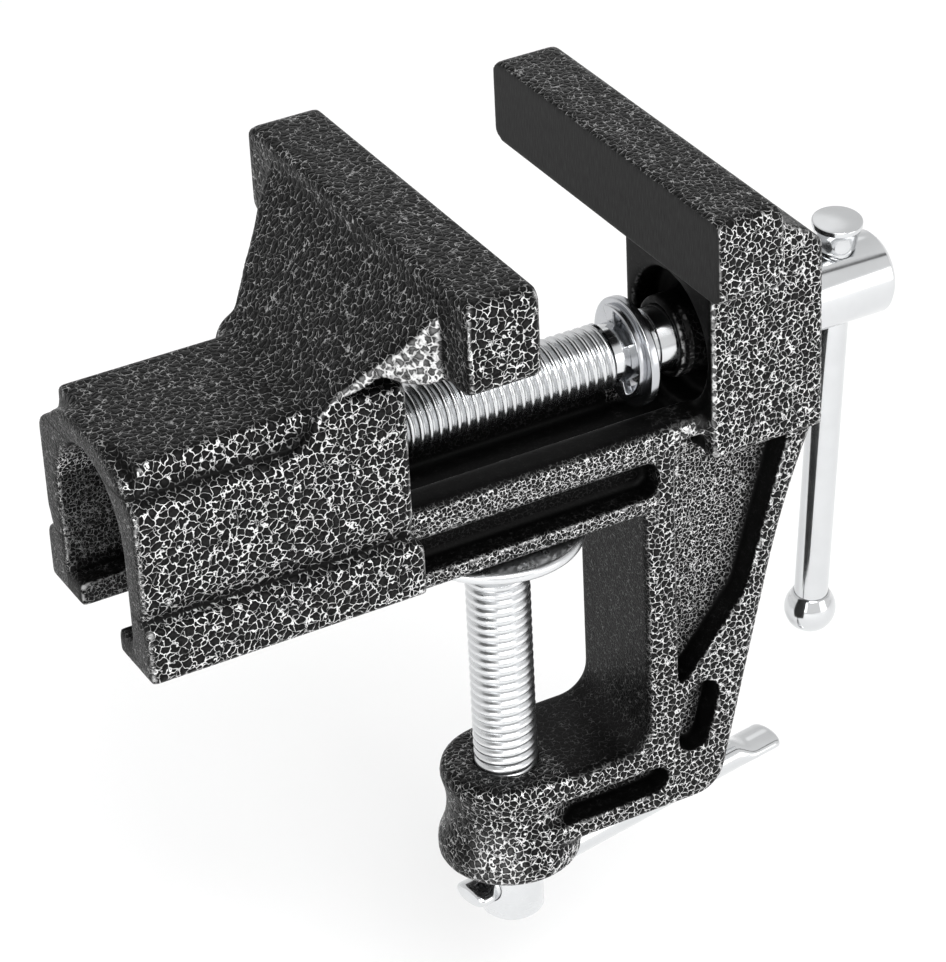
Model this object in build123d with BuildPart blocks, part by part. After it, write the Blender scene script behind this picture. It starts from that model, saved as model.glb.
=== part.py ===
from build123d import *
from math import cos, radians, sin
import os

os.makedirs("parts", exist_ok=True)

# A small clamp-on bench vise, in millimetres.
# +Z is up and +X points along the main screw, towards its head and handle.
# The origin is on the bench top: z = 0 is the underside of the guide rail, x = 0 is the upright face
# of the throat (and the gripping face of the fixed jaw), y = 0 is the middle of the vise.

# ---------------------------------------------------------------- clearances
bearing_gap = 0.05       # radial, a turning shaft or thread crest in its hole
slide_gap = 0.3          # between the guide rail and the slide that rides on it
face_gap = 0.1           # between two faces that turn on each other
washer_gap = 0.6         # radial, the loose washer on the neck of the screw
press_gap = 0.02         # radial, a knob's hole round the rod's turned end
run_out = 1.0            # how far a cut runs past the face it opens through
casting_draft = 4.0      # degrees, walls of the cast pockets

# ---------------------------------------------------------------- guide rail
rail_foot = 3.0          # lower flange, which sits on the bench
rail_groove = 5.6        # height of the side grooves
rail_flange = 5.6        # upper flange, gripped by the lips of the slide
rail_width = 21.0
rail_web = 11.8          # metal left between the two grooves
rail_reach = 70.0        # from the throat to the free end
rail_undercut = 0.6      # how far the upper flange draws in at its lower edge
trough_width = 9.6       # shallow channel along the rail's top
trough_depth = 3.4
groove_stop = 2.4        # the grooves end this far behind the throat
groove_end_round = 2.2
flange_straight = 3.1    # plain upper part of the flange's side
rail_end_round = 1.5
rail_foot_round = 1.0

rail_top = rail_foot + rail_groove + rail_flange
groove_top = rail_foot + rail_groove

# ---------------------------------------------------------------- C-shaped arm
throat_height = 41.4     # from the rail's underside to the lower arm
lower_arm = 12.4         # thickness of the lower arm
arm_depth_low = 12.3     # depth of the upright arm at its foot
arm_slant = 0.243        # how much deeper it gets for each millimetre up
arm_knee = 16.5          # below the bench top, where the back starts to curve out to the column
throat_round = 4.5       # inside corner at the foot of the throat
heel_round = 5.5         # outside corner at the foot of the arm
edge_break = 0.9         # chamfer along both sides of the arm and the foot of the rail
front_rim = 5.0          # flange along the throat
back_rim = 4.3           # flange along the back
pocket_foot = 31.8       # below the bench top, lowest point of the large pocket
pocket_foot_flat = 1.4   # its blunt lower tip
pocket_foot_round = 0.8
pocket_knee = 18.8       # below the bench top, where its lower edge turns off
pocket_knee_out = 0.6    # it bulges this far past the rim's line there
pocket_knee_round = 4.8
pocket_top_out = 2.4     # and follows the column's curve this far out at the top
heel_pocket_x = 8.6      # oval pocket at the heel
heel_pocket_z = -38.8
heel_pocket_length = 12.4
heel_pocket_width = 5.6
heel_pocket_lean = 75.0  # degrees from +X
slot_front = 3.0         # long slot in the lower arm, seen from the side
slot_height = 4.6
slot_below = 6.6         # from the lower arm's top to the slot's middle
foot_pocket_length = 6.0 # blind pocket in front of the column's foot
foot_pocket_height = 4.8
foot_pocket_round = 1.2
foot_pocket_ahead = 1.4  # its middle lies this far in front of the column
foot_pocket_lift = 0.6

lower_arm_top = -throat_height
lower_arm_bottom = -(throat_height + lower_arm)

# ---------------------------------------------------------------- clamp boss
clamp_axis = -19.7       # x of the clamp screw
boss_top_radius = 10.3
boss_waist_radius = 9.5
boss_foot_radius = 11.0
boss_drop = 5.6          # how far the boss hangs below the lower arm
boss_top_bevel = 1.4     # the top edge is broken in two steps, this wide
boss_top_bevel_high = 2.2
boss_step = 0.6          # height of the upper step
boss_step_side = 0.4
boss_foot_band = 4.2     # the waist runs out this far above the boss's foot
boss_foot_bevel = 2.2
boss_foot_bevel_high = 1.5

# ---------------------------------------------------------------- main screw
screw_diameter = 10.0
screw_above_rail = 8.5   # axis above the rail's top
screw_reach = 68.0       # from the fixed jaw's face to the free end
neck_diameter = 9.0      # turned-down neck that the clip snaps into
neck_start = -1.2        # the thread stops here
neck_end = 6.4
clip_start = 1.45        # the clip's outer face
head_diameter = 12.8
head_length = 16.9
head_chamfer = 0.8
screw_chamfer = 1.0      # at the free end
handle_hole_at = 9.5     # from the head's inner face to the handle's axis

screw_axis = rail_top + screw_above_rail

# ---------------------------------------------------------------- fixed jaw and its column
jaw_above_screw = 34.9
fixed_jaw_width = 63.0
fixed_jaw_thick = 10.6
fixed_jaw_height = 12.9
jaw_corner_round = 2.0   # at the ends of both jaw bars
jaw_back_round = 1.2     # along the top edge at the back of both bars
column_width = 24.6
column_depth = 19.2
column_overlap = 0.2     # the column's front lies this far inside the jaw bar's back
column_foot_drop = 6.9   # the wider column ends this far below the rail's top
column_shoulder = 16.0   # its back edge stands this far above the screw's axis
shoulder_bevel = 2.2     # blunt corner where the slope meets the column's back
shoulder_bevel_high = 2.2
shoulder_lift = 1.6
fixed_slope_drop = 1.8   # the sloping back of the fixed jaw starts this far below the jaw's top
fixed_slope_radius = 40.0
collar_radius = 6.3      # bearing collar round the screw
collar_proud = 1.5
recess_radius = 10.3
recess_depth = 4.5

jaw_top = screw_axis + jaw_above_screw
column_front = fixed_jaw_thick - column_overlap
column_back = column_front + column_depth
column_foot = rail_top - column_foot_drop
column_top = screw_axis + column_shoulder
screw_bore = screw_diameter / 2 + bearing_gap

# ---------------------------------------------------------------- retaining clip and washer
clip_thick = 1.2
clip_radius = 7.0
clip_mouth = 152.0       # degrees left open
clip_turn = 14.0         # degrees, the clip's back from the near side towards the top
clip_bay = 2.0           # radial depth of the two bays between the prongs
clip_prong = 46.0        # degrees, width of a prong
washer_thick = 1.5
washer_radius = 8.35

# ---------------------------------------------------------------- moving jaw
jaw_opening = 28.6       # as it stands
moving_jaw_width = 65.4
moving_jaw_thick = 11.0
moving_jaw_height = 13.9
slide_length = 42.9
slide_wall = 5.2
lip_height = 3.9
lip_gap = 0.4            # between a lip and the rail's web
skirt_proud = 1.0        # the skirt stands out from the wall above it
skirt_height = 8.6
skirt_bevel = 0.2        # the skirt's upper edge slopes down to its face
seam_height = 4.0        # shallow groove along the side, above the skirt
seam_depth = 1.1
seam_lift = 0.9          # its deepest line lies this far above the skirt
ledge_above_screw = 9.6  # shoulder beside the hump
raised_ledge = 6.7       # the shoulder rises by this next to the jaw
raised_length = 10.0
raised_run = 8.5         # it rises over this length
raised_sag = 0.6         # and falls off by this at the jaw
raised_edge = 0.8
block_setback = 1.0      # the slide's walls end this far short of the jaw
hump_width = 26.4
hump_above_screw = 14.6
hump_setback = 2.4
hump_round = 1.4
hump_foot_round = 5.0    # where the hump runs up into the sloping back
arch_shoulder = 2.4      # the arched end face stands this far below the hump at the corner
arch_flat = 5.2          # half-width of the flat on top of the arch
arch_corner = 10.4
arch_drop = 0.2
shoulder_round = 2.4     # outer edges of the slide's top
slope_length = 13.9      # sloping back of the moving jaw, along x
slope_drop = 3.4         # it starts this far below the jaw's top
flare_width = 51.0       # width of that slope where it meets the jaw
flare_under = 6.0        # its underside reaches this far back from the jaw
flare_tip = 2.5          # the outermost corner is blunted over this length
flare_tip_in = 1.4
nut_length = 12.0        # tapped block inside the slide

moving_jaw_face = -jaw_opening
moving_jaw_back = moving_jaw_face - moving_jaw_thick
slide_end = moving_jaw_back - slide_length
slide_inner = rail_width / 2 + slide_gap
slide_outer = slide_inner + slide_wall
lip_top = groove_top - slide_gap
slide_bottom = lip_top - lip_height
skirt_top = slide_bottom + skirt_height
ledge_z = screw_axis + ledge_above_screw
hump_top = screw_axis + hump_above_screw

# ---------------------------------------------------------------- handle of the main screw
handle_rod = 5.4
handle_length = 61.8     # from the screw's axis down to the middle of the lower knob
handle_gap = 0.1         # radial, the rod in its cross hole
handle_lean = 5.65       # degrees, its foot swings towards +Y
upper_knob_diameter = 7.7
upper_knob_height = 4.6
knob_edge = 0.3
knob_under_edge = 1.0    # the upper knob draws in by this underneath
knob_under_high = 1.2
lower_knob_diameter = 8.2
ball_above_middle = 2.95 # the ball is cut flat this far above its middle, where the rod enters
spigot_diameter = 3.6    # turned end of the rod that a knob is pressed on to
spigot_length = 3.0

# ---------------------------------------------------------------- clamp screw, pad and bar
clamp_screw_diameter = 9.8
clamp_end = 28.2         # how far the screw's plain end reaches below the lower arm
pad_diameter = 26.6
pad_thick = 1.8
pad_chamfer = 0.4
pad_rest_gap = 0.3       # the raised pad stops this far under the rail
rivet_diameter = 5.8     # tip of the screw that passes through the pad
rivet_head_diameter = 8.4
rivet_head_thick = 0.7
rivet_sunk = 0.2         # the rivet's head stays this far below the pad's top
rivet_gap = 0.1
rivet_edge = 0.3
clamp_end_edge = 0.5
bar_rod = 5.0
bar_gap = 0.1            # radial, the bar in its cross hole
bar_turn = 10.5          # degrees from +X towards +Y
bar_above_end = 5.7      # from the screw's plain end up to the bar's axis
bar_far_end = 54.4       # from the screw's axis to the far tip
near_paddle = 3.7        # lengths of the two flattened ends
far_paddle = 7.4
paddle_width = 6.6
paddle_thick = 3.0
paddle_round = 1.2

pad_top = -pad_rest_gap
pad_bottom = pad_top - pad_thick
clamp_foot = lower_arm_top - clamp_end
bar_z = clamp_foot + bar_above_end
bar_near_end = clamp_screw_diameter / 2 + face_gap + near_paddle


def corner(sketch, u, v):
    """The corner of a sketch that lies nearest to (u, v) in the sketch's own plane."""
    return sketch.vertices().sort_by_distance((u, v, 0))[0]


def round_off_back(x, z, toward_face, radius, half_width):
    """Rounds the top back edge of a jaw bar, which runs along Y at (x, z)."""
    centre = (x + toward_face * radius, z - radius)
    with BuildSketch(Plane.XZ) as sharp_corner:
        with BuildLine():
            Polyline((centre[0], z), (x, z), (x, centre[1]))
            ThreePointArc(
                (x, centre[1]),
                (centre[0] - toward_face * radius * cos(radians(45)), centre[1] + radius * sin(radians(45))),
                (centre[0], z),
            )
        make_face()
    extrude(sharp_corner.sketch, amount=half_width, both=True, mode=Mode.SUBTRACT)


# ================================================================ fixed body
# One casting: guide rail, C-shaped arm with pocketed sides, clamp boss, column and fixed jaw.
arm_back_at_knee = arm_depth_low + arm_slant * (throat_height + lower_arm - arm_knee)
back_line = Vector(arm_slant, 1)

pocket_depth = (rail_width - rail_web) / 2
pocket_top = column_foot + run_out


def back_edge(z):
    """x of the large pocket's back edge at height z."""
    return arm_depth_low + arm_slant * (z - lower_arm_bottom) - back_rim


with BuildPart() as side_pockets:
    # The near side's pockets, sunk from the arm's side face; the far side mirrors them.
    with BuildSketch(Plane.XZ.offset(rail_width / 2)) as arm_pocket:
        with BuildLine():
            knee_x = back_edge(-pocket_knee) + pocket_knee_out
            Polyline(
                (front_rim, pocket_top),
                (front_rim, -pocket_foot),
                (front_rim + pocket_foot_flat, -pocket_foot),
                (knee_x, -pocket_knee),
                (back_edge(column_foot) + pocket_top_out, pocket_top),
                close=True,
            )
        make_face()
        fillet(corner(arm_pocket, front_rim, -pocket_foot), pocket_foot_round)
        fillet(corner(arm_pocket, knee_x, -pocket_knee), pocket_knee_round)
    extrude(amount=-pocket_depth, taper=casting_draft)
    # A small oval pocket at the heel and a long slot in the lower arm.
    with BuildSketch(Plane.XZ.offset(rail_width / 2)) as heel_pocket:
        with Locations(Location((heel_pocket_x, heel_pocket_z), heel_pocket_lean)):
            SlotOverall(heel_pocket_length, heel_pocket_width)
    extrude(amount=-pocket_depth, taper=casting_draft)
    with BuildSketch(Plane.XZ.offset(rail_width / 2)) as arm_slot:
        with Locations(((slot_front + clamp_axis) / 2, lower_arm_top - slot_below)):
            SlotOverall(slot_front - clamp_axis, slot_height)
    extrude(amount=-pocket_depth, taper=casting_draft)
    # The blind pocket in front of the column's foot.
    with BuildSketch(Plane.XZ.offset(rail_width / 2)) as foot_pocket:
        foot_pocket_z = (groove_top + column_foot) / 2 + foot_pocket_lift
        with Locations((column_front - foot_pocket_ahead, foot_pocket_z)):
            RectangleRounded(foot_pocket_length, foot_pocket_height, foot_pocket_round)
    extrude(amount=-pocket_depth)
    mirror(about=Plane.XZ)

with BuildPart() as rail_grooves:
    # Side grooves of the rail, with the undercut flange above them.
    with BuildSketch(Plane.YZ.offset(groove_stop)) as groove_section:
        with BuildLine():
            undercut_top = rail_top - flange_straight
            Polyline(
                (-rail_web / 2, rail_foot),
                (-rail_width / 2 - run_out, rail_foot),
                (-rail_width / 2 - run_out, undercut_top),
                (-rail_width / 2, undercut_top),
                (-rail_width / 2 + rail_undercut, groove_top),
                (-rail_web / 2, groove_top),
                close=True,
            )
        make_face()
    extrude(amount=-(rail_reach + groove_stop + run_out))
    fillet(rail_grooves.edges().filter_by(Axis.Y).group_by(Axis.X)[-1], groove_end_round)
    mirror(about=Plane.XZ)

with BuildPart() as fixed_body:
    # Rail, upright arm and lower arm share one outline.
    with BuildSketch(Plane.XZ) as frame_outline:
        with BuildLine():
            heel_x = arm_depth_low
            knee = (arm_back_at_knee, -arm_knee)
            Polyline(
                (column_back, column_foot),
                (column_back, rail_top),
                (-rail_reach, rail_top),
                (-rail_reach, 0),
                (0, 0),
                (0, lower_arm_top),
                (clamp_axis, lower_arm_top),
                (clamp_axis, lower_arm_bottom),
                (heel_x, lower_arm_bottom),
                knee,
            )
            TangentArc(knee, (column_back, column_foot), tangent=back_line)
        make_face()
        fillet(corner(frame_outline, 0, lower_arm_top), throat_round)
        fillet(corner(frame_outline, heel_x, lower_arm_bottom), heel_round)
        fillet(corner(frame_outline, -rail_reach, rail_top), rail_end_round)
        fillet(corner(frame_outline, -rail_reach, 0), rail_foot_round)
    extrude(amount=rail_width / 2, both=True)
    outline_edges = fixed_body.edges().filter_by(Plane.XZ)
    chamfer(outline_edges.filter_by_position(Axis.Z, lower_arm_bottom - run_out, rail_foot), edge_break)
    add(side_pockets.part, mode=Mode.SUBTRACT)
    add(rail_grooves.part, mode=Mode.SUBTRACT)

    # Shallow trough along the rail's top.
    with BuildSketch(Plane.YZ.offset(column_front)):
        with Locations((0, rail_top)):
            Rectangle(trough_width, 2 * trough_depth)
    extrude(amount=-(rail_reach + column_front + run_out), mode=Mode.SUBTRACT)

    # Clamp boss, turned about the clamp screw's axis.
    with BuildSketch(Plane.XZ) as boss_section:
        boss_foot = lower_arm_bottom - boss_drop
        waist_z = (lower_arm_top + boss_foot) / 2
        with BuildLine():
            Polyline(
                (clamp_axis, boss_foot),
                (clamp_axis, lower_arm_top),
                (clamp_axis + boss_top_radius - boss_top_bevel, lower_arm_top),
                (clamp_axis + boss_top_radius - boss_step_side, lower_arm_top - boss_step),
                (clamp_axis + boss_top_radius, lower_arm_top - boss_top_bevel_high),
            )
            ThreePointArc(
                (clamp_axis + boss_top_radius, lower_arm_top - boss_top_bevel_high),
                (clamp_axis + boss_waist_radius, waist_z),
                (clamp_axis + boss_foot_radius, boss_foot + boss_foot_band),
            )
            Polyline(
                (clamp_axis + boss_foot_radius, boss_foot + boss_foot_band),
                (clamp_axis + boss_foot_radius, boss_foot + boss_foot_bevel_high),
                (clamp_axis + boss_foot_radius - boss_foot_bevel, boss_foot),
                (clamp_axis, boss_foot),
            )
        make_face()
    revolve(axis=Axis((clamp_axis, 0, 0), (0, 0, 1)))

    # Column with the sloping back of the fixed jaw.
    with BuildSketch(Plane.XZ) as column_outline:
        slope_start = (fixed_jaw_thick, jaw_top - fixed_slope_drop)
        slope_end = (column_back - shoulder_bevel, column_top + shoulder_lift)
        with BuildLine():
            Polyline(
                slope_end,
                (column_back, column_top + shoulder_lift - shoulder_bevel_high),
                (column_back, column_foot),
                (column_front, column_foot),
                (column_front, jaw_top - fixed_slope_drop),
                slope_start,
            )
            RadiusArc(slope_start, slope_end, -fixed_slope_radius)
        make_face()
    extrude(amount=column_width / 2, both=True)

    # Round recess in the column's front, with the bearing collar standing in it.
    with BuildSketch(Plane.YZ.offset(column_front)):
        with Locations((0, screw_axis)):
            Circle(recess_radius)
    extrude(amount=recess_depth, mode=Mode.SUBTRACT)
    with BuildSketch(Plane.YZ.offset(column_front + recess_depth)):
        with Locations((0, screw_axis)):
            Circle(collar_radius)
    extrude(amount=-(recess_depth + collar_proud))

    # Jaw bar, with its rounded corners.
    with BuildSketch(Plane.YZ) as jaw_section:
        with Locations((0, jaw_top - fixed_jaw_height / 2)):
            RectangleRounded(fixed_jaw_width, fixed_jaw_height, jaw_corner_round)
    extrude(amount=fixed_jaw_thick)
    round_off_back(fixed_jaw_thick, jaw_top, -1, jaw_back_round, fixed_jaw_width / 2)

    # Bore for the main screw and tapped hole for the clamp screw.
    with BuildSketch(Plane.YZ.offset(column_front - collar_proud)):
        with Locations((0, screw_axis)):
            Circle(screw_bore)
    extrude(amount=column_depth + collar_proud + run_out, mode=Mode.SUBTRACT)
    with BuildSketch(Plane.XY.offset(lower_arm_top + run_out)):
        with Locations((clamp_axis, 0)):
            Circle(clamp_screw_diameter / 2 + bearing_gap)
    extrude(amount=-(lower_arm + boss_drop + 2 * run_out), mode=Mode.SUBTRACT)

fixed_body.part.label = "fixed_body"
export_step(fixed_body.part, "parts/fixed_body.step")


# ================================================================ moving jaw
# One casting: an arched channel that rides on the rail, a tapped block inside it, and the jaw.
wall_end = moving_jaw_back - block_setback
jaw_bottom = jaw_top - moving_jaw_height
slope_foot = (moving_jaw_back - slope_length, hump_top)
slope_head = (moving_jaw_back, jaw_top - slope_drop)

with BuildPart() as jaw_flare:
    # The sloping back seen from the side, spread out to carry the wide jaw.
    with BuildSketch(Plane.XZ):
        with BuildLine():
            Polyline(
                slope_head,
                (moving_jaw_back, jaw_bottom),
                (moving_jaw_back - flare_under, jaw_bottom),
                (slope_foot[0], hump_top - run_out),
                slope_foot,
                close=True,
            )
        make_face()
    extrude(amount=flare_width / 2, both=True)
    with BuildSketch(Plane.XY.offset(ledge_z)) as flare_plan:
        with BuildLine():
            Polyline(
                (slope_foot[0] - run_out, 0),
                (slope_foot[0] - run_out, hump_width / 2),
                (slope_foot[0], hump_width / 2),
                (moving_jaw_back - flare_tip, flare_width / 2 - flare_tip_in),
                (moving_jaw_back, flare_width / 2),
                (moving_jaw_back, 0),
            )
            mirror(about=Plane.XZ)
        make_face()
    extrude(amount=jaw_top - ledge_z, mode=Mode.INTERSECT)

with BuildPart() as moving_jaw:
    # Outside of the slide: skirt, seam groove, wall, shoulder and arched top.
    with BuildSketch(Plane.YZ.offset(slide_end)):
        with BuildLine():
            arch_side = (hump_width + run_out) / 2
            Line((0, hump_top - arch_drop), (arch_flat, hump_top - arch_drop))
            ThreePointArc(
                (arch_flat, hump_top - arch_drop),
                (arch_corner, hump_top - arch_shoulder),
                (arch_side, ledge_z),
            )
            Line((arch_side, ledge_z), (slide_outer - shoulder_round, ledge_z))
            RadiusArc(
                (slide_outer - shoulder_round, ledge_z),
                (slide_outer, ledge_z - shoulder_round),
                shoulder_round,
            )
            Polyline(
                (slide_outer, ledge_z - shoulder_round),
                (slide_outer, skirt_top + seam_height),
                (slide_outer - seam_depth, skirt_top + seam_lift),
                (slide_outer + skirt_proud, skirt_top - skirt_bevel),
                (slide_outer + skirt_proud, slide_bottom),
                (0, slide_bottom),
            )
            mirror(about=Plane.YZ)
        make_face()
    extrude(amount=wall_end - slide_end)
    with BuildSketch(Plane.YZ.offset(wall_end)):
        with Locations((0, slide_bottom + (skirt_height - skirt_bevel) / 2)):
            Rectangle(2 * (slide_outer + skirt_proud), skirt_height - skirt_bevel)
    extrude(amount=moving_jaw_back - wall_end)

    # The shoulder rises next to the jaw.
    raised_top = ledge_z + raised_ledge
    raised_crest = (wall_end - raised_length, raised_top)
    raised_foot = (wall_end - raised_length - raised_run, ledge_z)
    raised_base = ledge_z - raised_ledge
    with BuildSketch(Plane.XZ):
        with BuildLine():
            Polyline(
                raised_crest,
                (wall_end, raised_top - raised_sag),
                (wall_end, raised_base),
                (raised_foot[0], raised_base),
                raised_foot,
            )
            rise_middle = ((raised_foot[0] + raised_crest[0]) / 2, (ledge_z + raised_top) / 2)
            TangentArc(raised_foot, rise_middle, tangent=(1, 0))
            TangentArc(raised_crest, rise_middle, tangent=(-1, 0))
        make_face()
    extrude(amount=slide_outer, both=True)
    shoulder_edges = moving_jaw.edges().filter_by(Plane.XZ).filter_by_position(
        Axis.Z, ledge_z + raised_edge / 2, raised_top
    )
    chamfer(shoulder_edges.filter_by_position(Axis.X, raised_foot[0], wall_end - run_out), raised_edge)

    # Hump along the slide, running up into the back of the jaw.
    with BuildSketch(Plane.XZ) as hump_outline:
        with BuildLine():
            Polyline(
                slope_foot,
                (slide_end + hump_setback, hump_top),
                (slide_end + hump_setback, ledge_z - run_out),
                (moving_jaw_back, ledge_z - run_out),
                slope_head,
                close=True,
            )
        make_face()
        fillet(corner(hump_outline, *slope_foot), hump_foot_round)
    extrude(amount=hump_width / 2, both=True)
    hump_edges = moving_jaw.edges().filter_by(Axis.X).filter_by_position(
        Axis.Z, hump_top - arch_drop / 2, hump_top + arch_drop / 2
    )
    fillet(hump_edges, hump_round)
    add(jaw_flare.part)

    # Jaw bar.
    with BuildSketch(Plane.YZ.offset(moving_jaw_back)):
        with Locations((0, jaw_top - moving_jaw_height / 2)):
            RectangleRounded(moving_jaw_width, moving_jaw_height, jaw_corner_round)
    extrude(amount=moving_jaw_thick)
    round_off_back(moving_jaw_back, jaw_top, 1, jaw_back_round, moving_jaw_width / 2)

    # Arched hollow, open at the free end and closed by the tapped block at the jaw.
    with BuildSketch(Plane.YZ.offset(slide_end)):
        with Locations((0, screw_axis)):
            Circle(slide_inner)
        with Locations((0, (screw_axis + lip_top) / 2)):
            Rectangle(2 * slide_inner, screw_axis - lip_top)
    extrude(amount=wall_end - nut_length - slide_end, mode=Mode.SUBTRACT)

    # Room for the rail's upper flange, and the slot between the lips.
    with BuildSketch(Plane.YZ.offset(slide_end)):
        with Locations((0, (rail_top + slide_gap + lip_top) / 2)):
            Rectangle(2 * slide_inner, rail_top + slide_gap - lip_top)
        with Locations((0, (lip_top + slide_bottom) / 2)):
            Rectangle(rail_web + 2 * lip_gap, lip_height + run_out)
    extrude(amount=slide_length, mode=Mode.SUBTRACT)

    # Tapped hole for the main screw, at the thread's crests.
    with BuildSketch(Plane.YZ.offset(wall_end - nut_length - run_out)):
        with Locations((0, screw_axis)):
            Circle(screw_bore)
    extrude(amount=nut_length + block_setback + 2 * run_out, mode=Mode.SUBTRACT)

moving_jaw.part.label = "moving_jaw"
export_step(moving_jaw.part, "parts/moving_jaw.step")


# ================================================================ main screw
# One turned piece: free end, thread, plain shank, neck for the clip, journal and head.
screw_line = Axis((0, 0, screw_axis), (1, 0, 0))
head_front = column_back + face_gap
head_back = head_front + head_length
handle_x = head_front + handle_hole_at
handle_up = Vector(0, -sin(radians(handle_lean)), cos(radians(handle_lean)))
handle_plane = Plane(origin=(handle_x, 0, screw_axis), x_dir=(1, 0, 0), z_dir=handle_up)

with BuildPart() as main_screw:
    with BuildSketch(Plane.XZ):
        with BuildLine():
            r_screw = screw_diameter / 2
            r_head = head_diameter / 2
            Polyline(
                (-screw_reach, screw_axis),
                (-screw_reach, screw_axis + r_screw - screw_chamfer),
                (-screw_reach + screw_chamfer, screw_axis + r_screw),
                (neck_start, screw_axis + r_screw),
                (neck_start, screw_axis + neck_diameter / 2),
                (neck_end, screw_axis + neck_diameter / 2),
                (neck_end, screw_axis + r_screw),
                (head_front, screw_axis + r_screw),
                (head_front, screw_axis + r_head),
                (head_back - head_chamfer, screw_axis + r_head),
                (head_back, screw_axis + r_head - head_chamfer),
                (head_back, screw_axis),
                close=True,
            )
        make_face()
    revolve(axis=screw_line)
    with BuildSketch(handle_plane):
        Circle(handle_rod / 2 + handle_gap)
    extrude(amount=head_diameter, both=True, mode=Mode.SUBTRACT)

main_screw.part.label = "main_screw"
export_step(main_screw.part, "parts/main_screw.step")


# ================================================================ thrust washer
# It hangs on the neck, so its middle lies a little under the screw's axis.
washer_front = clip_start + clip_thick
washer_z = screw_axis - washer_gap + bearing_gap

with BuildPart() as thrust_washer:
    with BuildSketch(Plane.YZ.offset(washer_front)):
        with Locations((0, washer_z)):
            Circle(washer_radius)
            Circle(neck_diameter / 2 + washer_gap, mode=Mode.SUBTRACT)
    extrude(amount=washer_thick)

thrust_washer.part.label = "thrust_washer"
export_step(thrust_washer.part, "parts/thrust_washer.step")


# ================================================================ retaining clip
# E-shaped spring clip: three prongs reach in to the neck, with the mouth on the far side.
clip_sweep = 360 - clip_mouth


def clip_point(radius, angle):
    """A point of the clip's plane, with the angle counted from -Y towards +Z."""
    return (-radius * cos(radians(angle)), screw_axis + radius * sin(radians(angle)))

with BuildPart() as retaining_clip:
    with BuildSketch(Plane.YZ.offset(clip_start)) as clip_section:
        with Locations((0, screw_axis)):
            Circle(clip_radius)
            Circle(neck_diameter / 2 + bearing_gap, mode=Mode.SUBTRACT)
        reach = 2 * clip_radius
        mouth_low = clip_turn + clip_sweep / 2
        with BuildLine():
            Polyline(
                (0, screw_axis),
                clip_point(reach, mouth_low),
                clip_point(reach, mouth_low + clip_mouth / 3),
                clip_point(reach, mouth_low + 2 * clip_mouth / 3),
                clip_point(reach, mouth_low + clip_mouth),
                close=True,
            )
        make_face(mode=Mode.SUBTRACT)
        for side in (-1, 1):
            bay_middle = clip_turn + side * (clip_sweep / 4 - 1)
            bay_half = clip_sweep / 4 - clip_prong / 2
            with BuildLine():
                inner = neck_diameter / 2 - run_out
                outer = neck_diameter / 2 + clip_bay
                first = bay_middle - bay_half
                last = bay_middle + bay_half
                ThreePointArc(
                    clip_point(outer, first),
                    clip_point(outer, bay_middle),
                    clip_point(outer, last),
                )
                Polyline(
                    clip_point(outer, last),
                    clip_point(inner, last),
                    clip_point(inner, first),
                    clip_point(outer, first),
                )
            make_face(mode=Mode.SUBTRACT)
    extrude(amount=clip_thick)

retaining_clip.part.label = "retaining_clip"
export_step(retaining_clip.part, "parts/retaining_clip.step")


# ================================================================ handle: rod and two knobs
# Heights are counted along the rod, from the screw's axis.
knob_under = head_diameter / 2 + face_gap
knob_over = knob_under + upper_knob_height
rod_foot = -handle_length + ball_above_middle

with BuildPart() as handle_rod_part:
    with BuildSketch(handle_plane.offset(rod_foot)):
        Circle(handle_rod / 2)
    extrude(amount=knob_under - rod_foot)
    for end, way in ((rod_foot, -1), (knob_under, 1)):
        with BuildSketch(handle_plane.offset(end)):
            Circle(spigot_diameter / 2)
        extrude(amount=way * spigot_length)

handle_rod_part.part.label = "handle_rod"
export_step(handle_rod_part.part, "parts/handle_rod.step")

handle_side = Plane(
    origin=(handle_x, 0, screw_axis),
    x_dir=(1, 0, 0),
    z_dir=(0, -cos(radians(handle_lean)), -sin(radians(handle_lean))),
)
handle_line = Axis((handle_x, 0, screw_axis), tuple(handle_up))

with BuildPart() as handle_knob_upper:
    # Flat-topped disc, drawn in underneath.
    with BuildSketch(handle_side):
        with BuildLine():
            r_knob = upper_knob_diameter / 2
            Polyline(
                (0, knob_over),
                (r_knob - knob_edge, knob_over),
                (r_knob, knob_over - knob_edge),
                (r_knob, knob_under + knob_under_high),
                (r_knob - knob_under_edge, knob_under),
                (0, knob_under),
                close=True,
            )
        make_face()
    revolve(axis=handle_line)
    with BuildSketch(handle_plane.offset(knob_under)):
        Circle(spigot_diameter / 2 + press_gap)
    extrude(amount=spigot_length, mode=Mode.SUBTRACT)

handle_knob_upper.part.label = "handle_knob_upper"
export_step(handle_knob_upper.part, "parts/handle_knob_upper.step")

with BuildPart() as handle_knob_lower:
    # Ball end, cut flat where the rod enters it.
    with Locations(handle_plane.offset(-handle_length).location):
        Sphere(lower_knob_diameter / 2)
    with BuildSketch(handle_plane.offset(rod_foot)):
        Rectangle(2 * lower_knob_diameter, 2 * lower_knob_diameter)
    extrude(amount=lower_knob_diameter, mode=Mode.SUBTRACT)
    with BuildSketch(handle_plane.offset(rod_foot)):
        Circle(spigot_diameter / 2 + press_gap)
    extrude(amount=-spigot_length, mode=Mode.SUBTRACT)

handle_knob_lower.part.label = "handle_knob_lower"
export_step(handle_knob_lower.part, "parts/handle_knob_lower.step")


# ================================================================ clamp screw
clamp_line = Axis((clamp_axis, 0, 0), (0, 0, 1))
rivet_seat = pad_top - rivet_sunk - rivet_head_thick
bar_plane = Plane(
    origin=(clamp_axis, 0, bar_z),
    x_dir=(0, 0, 1),
    z_dir=(cos(radians(bar_turn)), sin(radians(bar_turn)), 0),
)

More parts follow.
